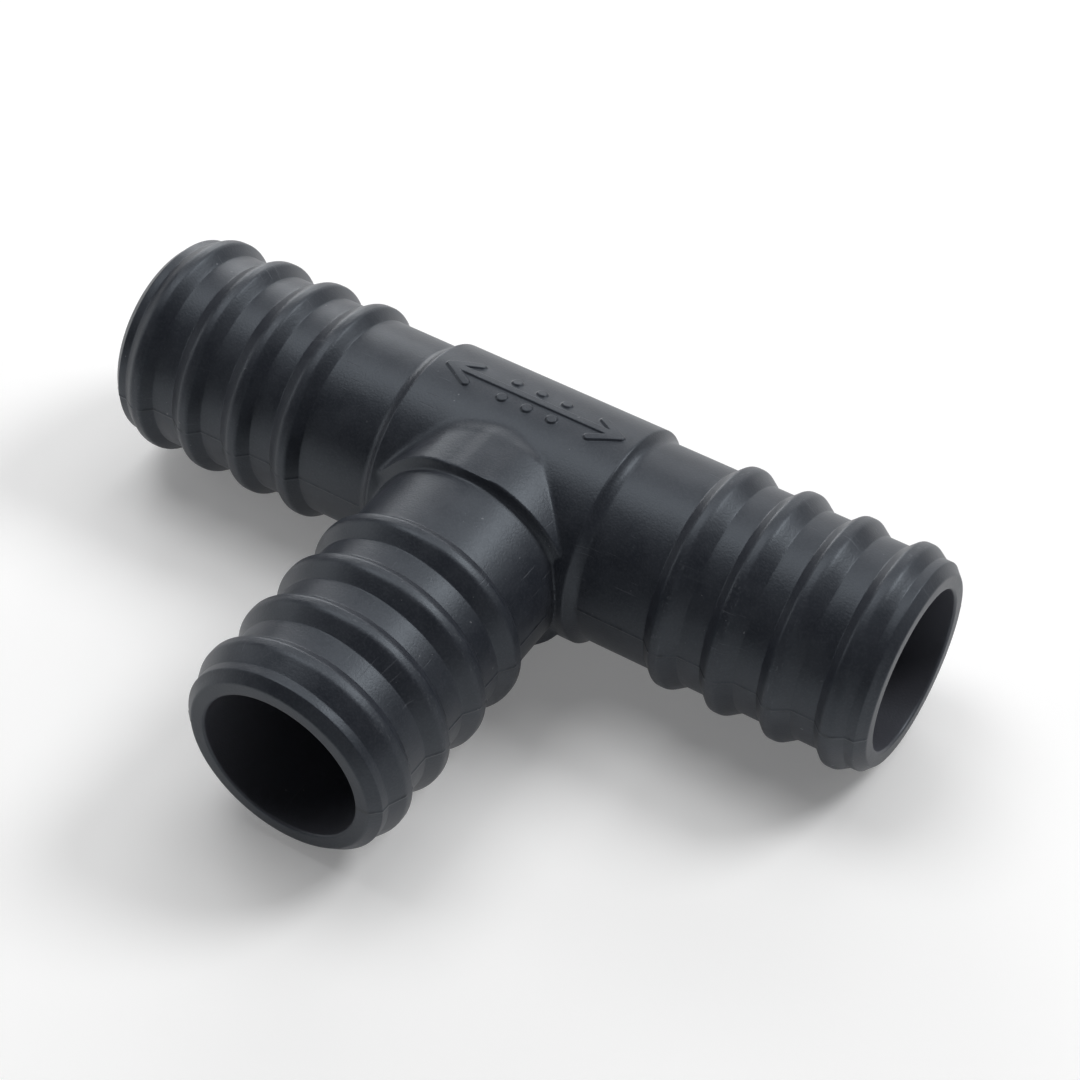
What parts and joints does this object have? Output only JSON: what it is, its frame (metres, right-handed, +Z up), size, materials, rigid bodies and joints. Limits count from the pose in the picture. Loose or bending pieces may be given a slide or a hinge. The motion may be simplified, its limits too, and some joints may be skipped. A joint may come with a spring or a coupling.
{
  "type": "barbed tee fitting",
  "caption": "Equal tee for joining flexible hoses: ribbed barbed ends on a straight run and a square branch, and a plain central collar.",
  "frame": {"origin": "on the plane that the tee rests on, under the middle of its bounding box; the axes of run and branch cross 18.05 mm along +Y and 13.9 mm above it", "axes": "+X along the run, -Y along the branch away from the run, +Z up, square to both"},
  "size_m": [0.104, 0.064, 0.0278],
  "materials": {
    "black_plastic": "satin moulded surface, slightly blue black, with fine scratches"
  },
  "bodies": {
    "root": {"centre_body": "black_plastic", "run_spigot_left": "black_plastic", "run_spigot_right": "black_plastic", "branch_spigot": "black_plastic"}
  },
  "joints": []
}
